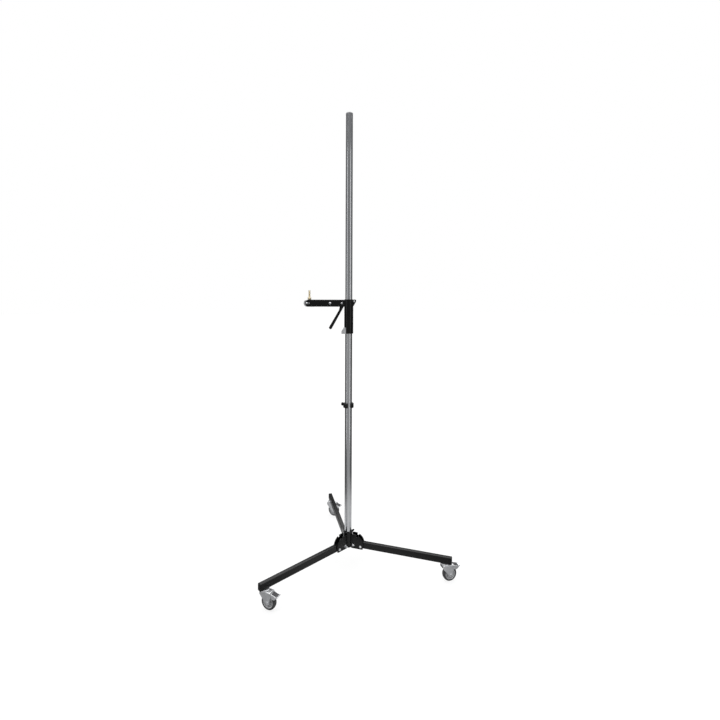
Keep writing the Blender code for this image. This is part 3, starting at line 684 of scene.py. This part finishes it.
def caster_stem(side, place):
    """The stem with its nut, the swivel's upper race and its kingpin."""
    under = LEG_TOP - LEG_HEIGHT
    seat, king = under + LEG_WALL + GAP, FORK_TOP - FORK_PLATE - GAP
    mesh = lathe([
        (0, seat + 0.008), (0.0072, seat + 0.008), (0.0072, seat), (0.0050, seat),
        (0.0050, under - GAP), (0.0170, under - GAP), (0.0186, under - 0.0012),
        (0.0190, under - 0.0030), (0.0190, FORK_TOP + 0.0012), (0.0182, FORK_TOP + GAP),
        (0.0055, FORK_TOP + GAP), (0.0055, king), (0.0090, king), (0.0086, king - 0.0030),
        (0.0060, king - 0.0048), (0, king - 0.0050),
    ], 64, edge=0.0005)
    piece(f"caster_stem_{side}", mesh, place, f"caster_stem_{side}")


def fork(side, place):
    """A pressed fork, its side outline cut from a round-shouldered channel, and the wheel's axle."""
    axle = (TRAIL, WHEEL_R)
    corners = [(-0.0165, FORK_TOP), (-0.0185, FORK_TOP - 0.003), (-0.0185, FORK_TOP - 0.014)]
    right = [(0.0350, WHEEL_R + 0.020), (0.0380, FORK_TOP - 0.012), (0.0340, FORK_TOP)]
    outline = soften(right + corners, 0.003, 4, False) + arc(axle, 0.0095, 200, 350, 18)
    side_cut = turned(plate([outline], 0.060, 0.0002), UPRIGHT)
    tall, reach = 0.060, 0.140

    def channel(half, top, radius):
        """A round-shouldered block along X, open downwards past the fork."""
        section = rounded(half, tall, radius, (0, top - tall), 8)
        return turned(plate([section], reach, 0.0002), ALONG_X)

    body = overlap(side_cut, channel(CHEEK_OUT, FORK_TOP, 0.0045))
    body = cut(
        body, channel(CHEEK_IN, FORK_TOP - FORK_PLATE, 0.0020),
        turned(rod(0.0059, 0, 0.02), at(0, 0, FORK_TOP - 0.010)),
        cross_hole(0.0034, *axle), cross_hole(0.0024, PEDAL_X, PEDAL_Z),
    )
    piece(f"caster_fork_{side}", body, place, f"caster_fork_{side}", 40)
    half = CHEEK_OUT + GAP
    shaft = lathe([
        (0, half + 0.0024), (0.0026, half + 0.0024), (0.0030, half + 0.0020), (0.0030, -half),
        (0.0060, -half), (0.0060, -half - 0.0006), (0.0030, -half - 0.0006), (0, -half - 0.0010),
    ], 40, edge=0.0002)
    nut = prism(hexagon(0.0053, 10), half, half + 0.0020)
    head = prism(hexagon(0.0054, 20), -half - 0.0026, -half - 0.0005)
    place = place @ at(axle[0], 0, axle[1]) @ ALONG_Y
    piece(f"caster_axle_{side}", join(shaft, nut, head), place, f"caster_axle_{side}")


def wheel(side, place):
    """The moulded centre with ribs between hub and rim, and the crowned tyre round it."""
    place = place @ at(TRAIL, 0, WHEEL_R) @ ALONG_Y
    half, rim, web, ribs = 0.0105, RIM_R - GAP, 0.0035, 8
    body = lathe([
        (rim, half), (rim, -half), (rim - 0.0022, -half), (rim - 0.0034, -web),
        (0.0085, -web), (0.0075, -0.0125), (0.0033, -0.0125), (0.0033, 0.0125),
        (0.0075, 0.0125), (0.0085, web), (rim - 0.0034, web), (rim - 0.0022, half),
    ], 72, True, 0.0005)
    bars = [
        turned(
            block((0.0070, -0.0008, -0.0085), (rim - 0.0015, 0.0008, 0.0085)),
            Matrix.Rotation(2 * math.pi * i / ribs, 4, "Z"),
        )
        for i in range(ribs)
    ]
    piece(f"wheel_centre_{side}", join(body, *bars), place, f"wheel_centre_{side}")
    tread, groove = WHEEL_R, WHEEL_R - 0.0006
    profile = [
        (RIM_R, half), (RIM_R + 0.0018, half + 0.0001), (tread - 0.0038, half - 0.0002),
        (tread - 0.0018, half - 0.0014), (tread - 0.0007, half - 0.0036),
        (tread - 0.00012, 0.0034), (groove, 0.0028), (groove, 0.0020), (tread, 0.0014),
    ]
    profile += [(radius, -height) for radius, height in reversed(profile)]
    mesh = lathe(profile, 96, True, 0.0005)
    piece(f"tyre_{side}", mesh, place, f"tyre_{side}")


def pedal(side, place):
    """The brake pedal: a pressed strip with two side skirts, and its pin."""
    eye, half = 0.0034, 0.0118
    top = [(0.0430, 0.0650), (0.0550, 0.0625), (0.0630, 0.0622), (0.0692, 0.0655)]
    top += [(0.0698, 0.0690), (0.0675, 0.0690), (0.0620, 0.0665), (0.0480, 0.0700)]
    outline = arc((PEDAL_X, PEDAL_Z), eye, 110, 290, 12) + soften(
        top + [(0.0370, 0.0728)], 0.0015, 3, False
    )
    strip = turned(plate([outline], 2 * half, 0.0005), UPRIGHT)
    skirt = soften([
        (0.0285, 0.0700), (0.0292, 0.0600), (0.0400, 0.0530), (0.0520, 0.0515),
        (0.0610, 0.0590), (0.0655, 0.0650), (0.0620, 0.0662), (0.0480, 0.0697),
        (0.0370, 0.0722),
    ], 0.004, 4)
    sides = [
        turned(plate([skirt], 0.0016, 0.0004), at(0, y, 0) @ UPRIGHT) for y in (-0.0124, 0.0124)
    ]
    pin = rod(0.0020, -CHEEK_OUT - 0.001, CHEEK_OUT + 0.001)
    pin = turned(pin, at(PEDAL_X, 0, PEDAL_Z) @ ALONG_Y)
    body = turned(join(strip, *sides, pin), at(-PEDAL_X, 0, -PEDAL_Z))
    place = place @ at(PEDAL_X, 0, PEDAL_Z)
    piece(f"brake_pedal_{side}", body, place, f"brake_pedal_{side}")


def pedal_tread(side, place):
    """The dark ribbed pad glued on the pedal's strip."""
    path = [(0.0380, 0.0727), (0.0480, 0.0701), (0.0615, 0.0667), (0.0630, 0.0672)]
    path += [(0.0620, 0.0684), (0.0480, 0.0718), (0.0384, 0.0742)]
    pad = turned(plate([soften(path, 0.0006, 2)], 0.0200, 0.0003), UPRIGHT)
    start, end, count = Vector((0.0402, 0, 0.0738)), Vector((0.0608, 0, 0.0689)), 7
    ribs = []
    for i in range(count):
        point = start.lerp(end, i / (count - 1))
        ribs.append(turned(rod(0.0006, -0.0095, 0.0095, 12), Matrix.Translation(point) @ ALONG_Y))
    mesh = turned(join(pad, *ribs), at(-PEDAL_X, 0, -PEDAL_Z))
    place = place @ at(PEDAL_X, 0, PEDAL_Z)
    shown(f"pedal_tread_{side}", mesh, place, BODY_OF[f"brake_pedal_{side}"], "rubber")


# ---- Clip --------------------------------------------------------------------------------------


def clip():
    """The open ring with a thick boss for its thumb screw, and the fluted screw."""
    place = at(COLUMN.x, COLUMN.y, (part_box("stop_clip")[0][2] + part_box("stop_clip")[1][2]) / 2)
    start, end = CLIP_MOUTH + CLIP_GAP / 2, CLIP_MOUTH + 360 - CLIP_GAP / 2
    bore = COLUMN_R + SADDLE_GAP
    ends = [arc((0, 0), radius, turn, turn, 1)[0] for radius, turn in (
        (CLIP_R, end - 1), (CLIP_R - 0.0010, end), (bore, end), (bore, start),
        (CLIP_R - 0.0010, start), (CLIP_R, start + 1),
    )]
    ring = (
        arc((0, 0), CLIP_R, start + 3, end - 3, 64) + soften(ends[:3], 0.0015, 3, False)
        + arc((0, 0), bore, end - 3, start + 3, 48) + soften(ends[3:], 0.0015, 3, False)
    )
    body = plate([ring], 2 * CLIP_HALF, 0.0016, 4)
    turn = math.radians(CLIP_SCREW_AT)
    out = facing((0, 0, 0.002), turn) @ SIDEWAYS
    boss = lathe([(0, CLIP_R + 0.0002), (0.0072, CLIP_R + 0.0002), (0.0076, 0.0200), (0, 0.0200)], 40)
    body = cut(join(body, turned(boss, out)), turned(rod(0.0028, 0.012, 0.035), out))
    piece("stop_clip", body, place, "stop_clip")
    knob, ribs = 0.0080, 10
    turns = [2 * math.pi * i / (ribs * 8) for i in range(ribs * 8)]
    flutes = [
        (math.cos(t) * r, math.sin(t) * r)
        for t, r in ((t, knob - 0.0010 * max(0, math.cos(ribs * t)) ** 2) for t in turns)
    ]
    grip = prism(flutes, 0.0295, 0.0384, 0.0012)
    shank = lathe([
        (0, 0.0385), (0.0040, 0.0385), (0.0046, 0.0375), (0.0046, 0.0300), (knob - 0.0025, 0.0290),
        (knob - 0.0025, CLIP_R + GAP), (0.0025, CLIP_R + GAP), (0.0025, 0.0185), (0.0019, 0.0179),
        (0, 0.0179),
    ], 40, edge=0.0003)
    out = place @ facing((0, 0, 0.002), turn) @ SIDEWAYS
    piece("clip_thumb_screw", join(grip, shank), out, "clip_screw")


# ---- Carriage ----------------------------------------------------------------------------------


def sleeve():
    """The carriage tube with its roller slots and shoe window, and the nylon bush inside."""
    profile = [
        (SLEEVE_R, SLEEVE_HIGH), (SLEEVE_R, SLEEVE_LOW), (SLEEVE_BORE, SLEEVE_LOW),
        (SLEEVE_BORE, SLEEVE_HIGH),
    ]
    side, reach = ROLLER_HALF + 2 * GAP, ROLLER_R + 0.0015
    window = SHOE_HALF + GAP
    body = cut(
        lathe(profile, 96, True, 0.0008),
        block((0.010, -side, UPPER_ROLLER - reach), (0.040, side, SLEEVE_HIGH + 0.01)),
        block((-0.040, -side, SLEEVE_LOW - 0.01), (-0.010, side, LOWER_ROLLER + reach)),
        block((-0.030, -window, SHOE_LOW - 0.0005), (-0.010, window, SHOE_HIGH + 0.0005)),
    )
    piece("carriage_sleeve", body, SLIDE, "carriage_sleeve")
    outer, bore, low, high = 0.0190, 0.0179, -0.118, -0.022
    profile = [(outer, high), (outer, low), (bore, low), (bore, high)]
    piece("sleeve_liner", lathe(profile, 80, True, 0.0003), SLIDE, "sleeve_liner")


def roller_set(name, height, flip):
    """A roller, its pin with a clip groove, and the bracket that carries it on the sleeve."""
    place = SLIDE @ at(0, 0, height) @ Matrix.Rotation(math.pi if flip else 0, 4, "Y")
    foot, tip = 0.0120, 0.0362
    outline = [(foot, 0.0085)] + soften([
        (foot + 0.002, 0.0085), (tip - 0.002, 0.0085), (tip, 0.0060), (tip, 0.0020),
        (SLEEVE_R + 0.0022, -0.0225), (foot + 0.002, -0.0225),
    ], 0.0025, 4, False) + [(foot, -0.0225)]
    loops = [outline, circle((ROLLER_X, 0), 0.0029), circle((SCREW_X, SCREW_Z), 0.0024)]
    half, web = ARM_SIDE - ARM_WALL, SLEEVE_R + 0.0020
    body = cut(
        turned(plate(loops, 2 * ARM_SIDE, 0.0010, 3), UPRIGHT),
        block((web, -half, -0.030), (0.050, half, 0.020)),
        block((0, -half, -ROLLER_R - 0.0012), (0.050, half, 0.020)),
        rod(SLEEVE_R + SADDLE_GAP, -REACH, REACH, 96),
    )
    piece(f"{name}_bracket", body, place, f"{name}_bracket")
    edge = ROLLER_HALF
    profile = [
        (ROLLER_R - 0.0012, edge), (ROLLER_R, edge - 0.0016), (ROLLER_R, 0.0012),
        (ROLLER_R - 0.0006, 0.0006), (ROLLER_R - 0.0006, -0.0006), (ROLLER_R, -0.0012),
        (ROLLER_R, 0.0016 - edge), (ROLLER_R - 0.0012, -edge), (0.0050, -edge),
        (0.0048, -edge + 0.0006), (0.0029, -edge + 0.0006), (0.0029, edge - 0.0006),
        (0.0048, edge - 0.0006), (0.0050, edge),
    ]
    place = place @ at(ROLLER_X, 0, 0) @ ALONG_Y
    piece(name, lathe(profile, 64, True, 0.0004), place, name)
    end = ARM_SIDE + GAP
    profile = [
        (0, end + 0.0018), (0.0022, end + 0.0018), (0.0026, end + 0.0014), (0.0026, end + 0.0008),
        (0.0042, end + 0.0008), (0.0042, end), (0.0026, end), (0.0026, -end), (0.0045, -end),
        (0.0044, -end - 0.0008), (0.0036, -end - 0.0016), (0.0012, -end - 0.0020),
        (0.0010, -end - 0.0012), (0, -end - 0.0010),
    ]
    piece(f"{name}_pin", lathe(profile, 48, edge=0.0002), place, f"{name}_pin")


def slotted_screw():
    """The bracket's cheese-head screw, with a slot in its head."""
    tip, end = 0.0158, ARM_SIDE + GAP
    body = lathe([
        (0, -tip), (0.0021, -tip), (0.0021, -end), (0.0037, -end), (0.0037, -end - 0.0014),
        (0.0030, -end - 0.0022), (0, -end - 0.0025),
    ], 48, edge=0.0003)
    slot = block((-0.005, -0.00045, -end - 0.004), (0.005, 0.00045, -end - 0.0012))
    body = cut(body, turned(slot, Matrix.Rotation(0.7, 4, "Z")))
    place = SLIDE @ at(-SCREW_X, 0, LOWER_ROLLER - SCREW_Z) @ ALONG_Y
    piece("bracket_screw", body, place, "bracket_screw")


def long_block(half, low, high, radius, reach=0.3):
    """A block along X whose upper edges, and lower ones where they show, are round."""
    section = rounded(half, (high - low) / 2, radius, (0, (high + low) / 2), 8)
    return turned(plate([section], 2 * reach, 0.0002), ALONG_X)


def arm():
    """The channel: its side outline cut from a round-shouldered bar and hollowed from below."""
    outline = arc((ARM_TIP, 0), ARM_HALF, 90, 270, 48) + [(0, -ARM_HALF), (0, ARM_HALF)]
    bar = overlap(
        turned(plate([outline], 0.08, 0.0002), UPRIGHT),
        long_block(ARM_SIDE, -0.06, ARM_HALF, 0.0035),
    )
    inner = ARM_SIDE - ARM_WALL
    holes = [
        cross_hole(radius, x, 0) for x, radius in
        ((NOSE_BOLT_X, M6_HOLE), (SPACER_BOLT_X, M6_HOLE + 0.0004), (LEVER_X, M6_HOLE))
    ]
    body = cut(
        bar, block((-0.30, -inner, -0.05), (0.01, inner, ARM_HALF - ARM_WALL)),
        rod(SLEEVE_R + SADDLE_GAP, -REACH, REACH, 96),
        turned(rod(STUD_R + 0.0004, 0, 0.03), at(STUD_X, 0, 0)),
        turned(rod(0.0033, -0.025, -0.010), at(STUD_X, 0, 0) @ ALONG_Y), *holes,
    )
    piece("arm_channel", body, SLIDE, "arm_channel")


def nose():
    """The light block in the arm's end, and the cross bolts and lock screw through it."""
    top, radius, end = ARM_HALF - ARM_WALL - GAP, ARM_HALF + 0.0006, 0.1700
    sweep = math.degrees(math.asin(top / radius))
    outline = arc((NOSE_TIP, 0), radius, 180 - sweep, 270, 40) + [(-end, -radius), (-end, top)]
    width = 2 * (ARM_SIDE - ARM_WALL - GAP)
    body = turned(plate([outline, circle((NOSE_BOLT_X, 0), M6_HOLE)], width, 0.0008, 3), UPRIGHT)
    body = cut(
        body, turned(rod(STUD_R + GAP, -0.012, 0.03), at(STUD_X, 0, 0)),
        turned(rod(0.0033, -0.022, -0.002), at(STUD_X, 0, 0) @ ALONG_Y),
    )
    piece("nose_block", body, SLIDE, "nose_block")
    half = ARM_SIDE + GAP
    for name, x, shaft, head in (
        ("nose_bolt", NOSE_BOLT_X, M6_SHANK, 0.0054),
        ("spacer_bolt", SPACER_BOLT_X, M6_SHANK + 0.0004, 0.0058),
        ("lever_pin", LEVER_X, M6_SHANK, 0.0048),
    ):
        piece(name, cross_bolt(shaft, head, half), SLIDE @ at(x, 0, 0) @ ALONG_Y, name)
    body = lathe([(0, 0.0062), (0.0030, 0.0062), (0.0030, -0.0062), (0, -0.0062)], 40)
    body = cut(body, prism(hexagon(0.0016), -0.008, -0.0035, 0.0001))
    place = SLIDE @ at(STUD_X, -ARM_SIDE + 0.0060, 0) @ ALONG_Y
    piece("stud_lock_screw", body, place, "stud_lock_screw")


def threaded(radius, depth, low, high, pitch, sides=48, rows=7):
    """A rod along Z with a helical thread between two heights, faded out at both ends."""
    shape, rings = bmesh.new(), []
    count = int((high - low) / pitch * rows)
    for row in range(count + 1):
        z, ring = low + (high - low) * row / count, []
        fade = min(1, (z - low) / pitch, (high - z) / (0.6 * pitch))
        for side in range(sides):
            turn = 2 * math.pi * side / sides
            wave = abs((z / pitch - side / sides) % 1 - 0.5) * 2
            r = radius - depth * (fade * min(1, max(0, 1.25 * wave - 0.12)) + 1 - fade)
            ring.append(shape.verts.new((r * math.cos(turn), r * math.sin(turn), z)))
        rings.append(ring)
    for lower, upper in zip(rings, rings[1:]):
        for i in range(sides):
            j = (i + 1) % sides
            shape.faces.new((lower[i], lower[j], upper[j], upper[i]))
    shape.faces.new(rings[0][::-1])
    shape.faces.new(rings[-1])
    return to_mesh(shape)


def stud():
    """The brass stud: a collar with a groove, and a threaded shank with a chamfered end."""
    seat, shoulder, shank = ARM_HALF + GAP, 0.0088, STUD_R
    collar = lathe([
        (0, seat + 0.0125), (shank - 0.0006, seat + 0.0125), (shank - 0.0006, seat + 0.0110),
        (shoulder - 0.0009, seat + 0.0110), (shoulder, seat + 0.0100), (shoulder, seat + 0.0078),
        (shoulder - 0.0007, seat + 0.0072), (shoulder - 0.0007, seat + 0.0064),
        (shoulder, seat + 0.0058), (shoulder, seat + 0.0008), (shoulder - 0.0008, seat),
        (shank, seat), (shank, -0.0100), (0, -0.0100),
    ], 72, edge=0.0002)
    thread = threaded(shank, 0.0006, seat + 0.0115, seat + 0.0460, 0.0016)
    piece("brass_stud", join(collar, thread), SLIDE @ at(STUD_X, 0, 0), "stud", 50)


def lever():
    """The release lever: a cam round its pin and a long flat grip with round edges."""
    cam = [
        (radius * math.cos(math.radians(turn)), radius * math.sin(math.radians(turn)))
        for turn, radius in (
            (-28, 0.0114), (-14, 0.0115), (0, 0.0115), (6, 0.0112), (12, 0.0107), (18, 0.0101),
            (25, 0.0097), (45, 0.0096), (58, 0.0096), (70, 0.0096), (82, 0.0097), (95, 0.0098),
            (108, 0.0100), (120, 0.0103), (132, 0.0105), (145, 0.0108), (158, 0.0110),
            (170, 0.0112), (180, 0.0113), (190, 0.0114),
        )
    ]
    tilt, reach = math.radians(29), 0.133
    end = (-reach * math.sin(tilt) + 0.0085, -reach * math.cos(tilt) - 0.0055)
    neck = soften([cam[-1], (-0.0112, -0.0215), (-0.0145, -0.0345)], 0.010, 5, False)[1:]
    heel = soften([(0.0082, -0.0200), cam[0]], 0.004, 2, False)[:-1]
    outline = cam + neck + arc(end, 0.0078, 151, 331, 24) + heel
    body = plate([outline, circle((0, 0), M6_HOLE)], 0.0125, 0.0040, 6)
    piece("release_lever", body, SLIDE @ at(LEVER_X, 0, 0) @ UPRIGHT, "brake_lever")


def shoe():
    """The brake shoe, hollowed to the column's round."""
    low, high = (LEVER_X + 0.0115 + GAP, -SHOE_HALF, SHOE_LOW), (-0.014, SHOE_HALF, SHOE_HIGH)
    body = cut(block(low, high), rod(COLUMN_R + SADDLE_GAP, -REACH, REACH, 96))
    piece("brake_shoe", bevelled(body, 0.0004), SLIDE, "brake_shoe")


column()
hub()
lock_screw()
for name in SIDES:
    bracket(name)
    leg(name)
    swivel = caster_place(name)
    caster_stem(name, swivel)
    fork(name, swivel)
    wheel(name, swivel)
    pedal(name, swivel)
    pedal_tread(name, swivel)
clip()
sleeve()
roller_set("upper_roller", UPPER_ROLLER, False)
roller_set("lower_roller", LOWER_ROLLER, True)
slotted_screw()
arm()
nose()
stud()
lever()
shoe()

# ---- Studio ------------------------------------------------------------------------------------


def white_paper():
    """The pale floor: nearly white to the camera, and darker in what the object mirrors of it, where
    painted shade darkens it away from the stand and towards the back and sides.
    """
    made = bpy.data.materials.new("paper")
    made.use_nodes = True
    graph = Graph(made.node_tree)
    graph.nodes.clear()
    coords = graph.add("TexCoord").outputs["Object"]
    grain = graph.add("TexNoise", Vector=coords, Scale=40).outputs["Fac"]
    seen = graph.add("BsdfDiffuse", Color=graph.grey(graph.spread(grain, 0, 1, 0.17, 0.20)))
    lit = graph.add("AddShader")
    for socket, part in zip(lit.inputs, (seen, graph.add("Emission", Strength=0.82))):
        graph.links.new(part.outputs[0], socket)
    # Painted shade: to all rays but the camera's, the floor's grey falls from 0.58 by the stand to
    # 0.32 far in front and to 0.08 far at the back and sides, in place of the light's falloff.
    distance = graph.vector("LENGTH", coords)
    forward = graph.add("SeparateXYZ", Vector=coords).outputs["Y"]
    ahead = graph.sum_up("DIVIDE", forward, distance)
    far = graph.spread(ahead, -0.95, -0.30, 0.32, 0.08, smooth=True)
    shade = graph.spread(distance, 0.24, 0.72, 0.58, far, smooth=True)
    mirrored_painted_shade = graph.add("BsdfDiffuse", Color=graph.grey(shade))
    graph.add("OutputMaterial", Surface=graph.by_ray(mirrored_painted_shade, lit))
    return made


def floor():
    """A wide disc just under the wheels."""
    shape = bmesh.new()
    bmesh.ops.create_circle(shape, cap_ends=True, segments=96, radius=30)
    mesh = to_mesh(shape, "floor")
    mesh.materials.append(white_paper())
    made = bpy.data.objects.new("floor", mesh)
    bpy.context.scene.collection.objects.link(made)
    made.location = (0, 0, -0.0005)


def world():
    """White to the camera and a soft grey to everything else, darker at the back."""
    made = bpy.data.worlds.new("studio")
    bpy.context.scene.world = made
    made.use_nodes = True
    graph = Graph(made.node_tree)
    graph.nodes.clear()
    coords = graph.add("TexCoord").outputs["Generated"]
    forward = graph.add("SeparateXYZ", Vector=coords).outputs["Y"]
    shade = graph.spread(forward, -1, 1, 0.30, 0.14)
    white = graph.add("Background", Color=(1, 1, 1, 1), Strength=1.0)
    grey = graph.add("Background", Color=(0.98, 0.99, 1, 1), Strength=shade)
    graph.add("OutputWorld", Surface=graph.by_ray(grey, white))


def softbox(name, azimuth, distance, height, width, tall, power):
    """A tall lamp that faces the column. Azimuth 0 is on the camera's side, 90 on the right."""
    lamp = bpy.data.lights.new(name, "AREA")
    lamp.shape, lamp.size, lamp.size_y, lamp.energy = "RECTANGLE", width, tall, power
    made = bpy.data.objects.new(name, lamp)
    bpy.context.scene.collection.objects.link(made)
    turn = math.radians(azimuth)
    made.location = COLUMN + Vector((math.sin(turn) * distance, -math.cos(turn) * distance, height))
    aim = COLUMN + Vector((0, 0, height)) - made.location
    made.rotation_euler = aim.to_track_quat("-Z", "Y").to_euler()
    made.visible_camera = False


def sun(strength, spread):
    """A broad soft light from above, tilted a little so that it comes from the back."""
    lamp = bpy.data.lights.new("overhead", "SUN")
    lamp.energy, lamp.angle = strength, math.radians(spread)
    made = bpy.data.objects.new("overhead", lamp)
    bpy.context.scene.collection.objects.link(made)
    made.rotation_euler = (math.radians(-10), 0, 0)
    made.location = (0, 0, 4)


def camera():
    """The photo's view: level, 1.33 m above the floor and 2.18 m in front of the column."""
    height, distance, roll = 1.333, 2.176, -0.2
    lens = bpy.data.cameras.new("camera")
    lens.sensor_width, lens.lens = 36, 21.88
    lens.shift_x, lens.shift_y = 0.01551, -0.09257
    made = bpy.data.objects.new("camera", lens)
    bpy.context.scene.collection.objects.link(made)
    made.location = (COLUMN.x, COLUMN.y - distance, height)
    made.rotation_euler = (math.pi / 2, math.radians(roll), 0)
    bpy.context.scene.camera = made


floor()
world()
softbox("left_box", -60, 1.1, 1.38, 0.27, 2.7, 2.5)
softbox("right_box", 48, 1.1, 1.38, 0.27, 2.7, 2.8)
sun(3.4, 100)
camera()
bpy.context.scene.view_settings.view_transform = "Standard"
